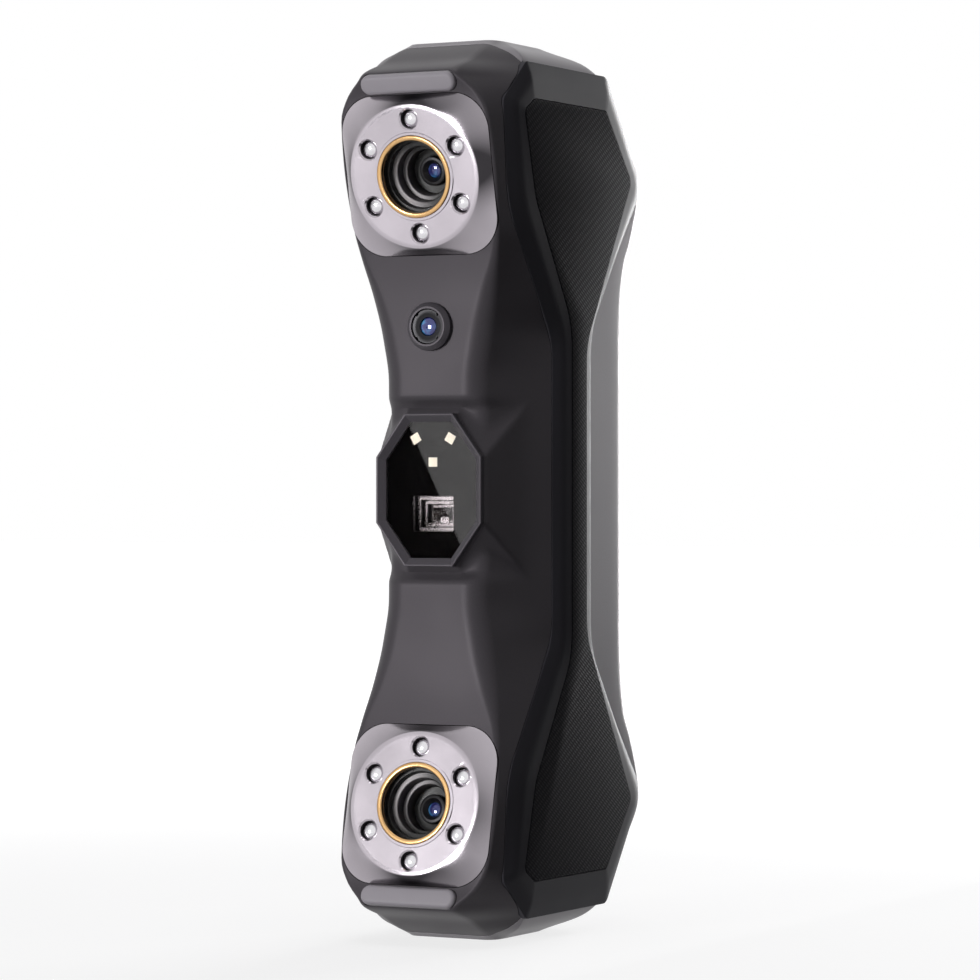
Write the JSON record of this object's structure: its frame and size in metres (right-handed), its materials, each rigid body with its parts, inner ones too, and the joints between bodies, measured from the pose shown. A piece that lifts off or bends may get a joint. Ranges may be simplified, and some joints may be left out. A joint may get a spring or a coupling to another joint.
{
  "type": "handheld 3d scanner",
  "caption": "Dog-bone handheld 3D scanner: toed-in camera heads ringed with LEDs, centre projector window, colour camera, textured side grips, rear push buttons, tripod thread.",
  "frame": {"origin": "on the floor under the middle of the bounding box, on the flat lower end that the scanner stands on", "axes": "+Z along the body towards the colour camera's end, the lenses look along -Y, and +X is to the right of a viewer who faces the lenses' side from -Y"},
  "size_m": [0.047, 0.0813, 0.2135],
  "materials": {
    "front_shell": "fine matte",
    "rear_shell": "fine matte",
    "grip": "soft matte",
    "grip_texture": "fine diagonal weave",
    "satin_metal": "satin, blasted",
    "brass": "turned",
    "clear_glass": "anti-reflection coated",
    "dark_glass": "smoked, polished",
    "coated_glass": "blue and violet coating",
    "black_metal": "black anodised",
    "aluminium": "machined",
    "circuit_board": "solder mask",
    "led_dome": "clear moulded",
    "led_white": "phosphor",
    "bumper_rubber": "soft matte",
    "button_rubber": "soft matte",
    "chip": "moulded",
    "steel": "bright"
  },
  "bodies": {
    "body": {"front_shell": "front_shell", "rear_shell": "rear_shell", "right_grip_panel": "grip", "left_grip_panel": "grip", "right_grip_inlay": "grip_texture", "left_grip_inlay": "grip_texture", "upper_lens_plate": "satin_metal", "lower_lens_plate": "satin_metal", "upper_lens_ring": "brass", "lower_lens_ring": "brass", "upper_camera_window": "clear_glass", "lower_camera_window": "clear_glass", "upper_lens_hood": "black_metal", "lower_lens_hood": "black_metal", "upper_lens_barrel": "black_metal", "lower_lens_barrel": "black_metal", "upper_lens_glass": "coated_glass", "lower_lens_glass": "coated_glass", "upper_camera_housing": "aluminium", "lower_camera_housing": "aluminium", "upper_camera_board": "circuit_board", "lower_camera_board": "circuit_board", "upper_led_board": "circuit_board", "lower_led_board": "circuit_board", "upper_led_lenses": "led_dome", "lower_led_lenses": "led_dome", "upper_bumper": "bumper_rubber", "lower_bumper": "bumper_rubber", "window_frame": "front_shell", "window_glass": "dark_glass", "flash_board": "circuit_board", "flash_leds": "led_white", "projector_housing": "aluminium", "projector_lens": "coated_glass", "colour_ring": "front_shell", "colour_barrel": "black_metal", "colour_glass": "coated_glass", "colour_board": "circuit_board", "inner_frame": "aluminium", "main_board": "circuit_board", "processor": "chip", "heat_sink": "black_metal", "frame_screws": "steel", "board_screws": "steel", "shell_screws": "steel", "control_panel": "front_shell", "status_lights": "led_dome", "button_board": "circuit_board", "tactile_switches": "chip", "tripod_insert": "brass", "usb_socket": "steel", "usb_board": "circuit_board"},
    "scan_button_body": {"scan_button": "button_rubber"},
    "mode_button_body": {"mode_button": "button_rubber"},
    "plus_button_body": {"plus_button": "button_rubber"},
    "minus_button_body": {"minus_button": "button_rubber"}
  },
  "joints": [
    {"name": "scan_button_press", "type": "slide", "parent": "body", "child": "scan_button_body", "axis": [0, -1, 0], "range_m": [0, 0.0005], "stiffness_N_per_m": 2400},
    {"name": "mode_button_press", "type": "slide", "parent": "body", "child": "mode_button_body", "axis": [0, -1, 0], "range_m": [0, 0.0005], "stiffness_N_per_m": 2400},
    {"name": "plus_button_press", "type": "slide", "parent": "body", "child": "plus_button_body", "axis": [0, -1, 0], "range_m": [0, 0.0005], "stiffness_N_per_m": 2400},
    {"name": "minus_button_press", "type": "slide", "parent": "body", "child": "minus_button_body", "axis": [0, -1, 0], "range_m": [0, 0.0005], "stiffness_N_per_m": 2400}
  ]
}
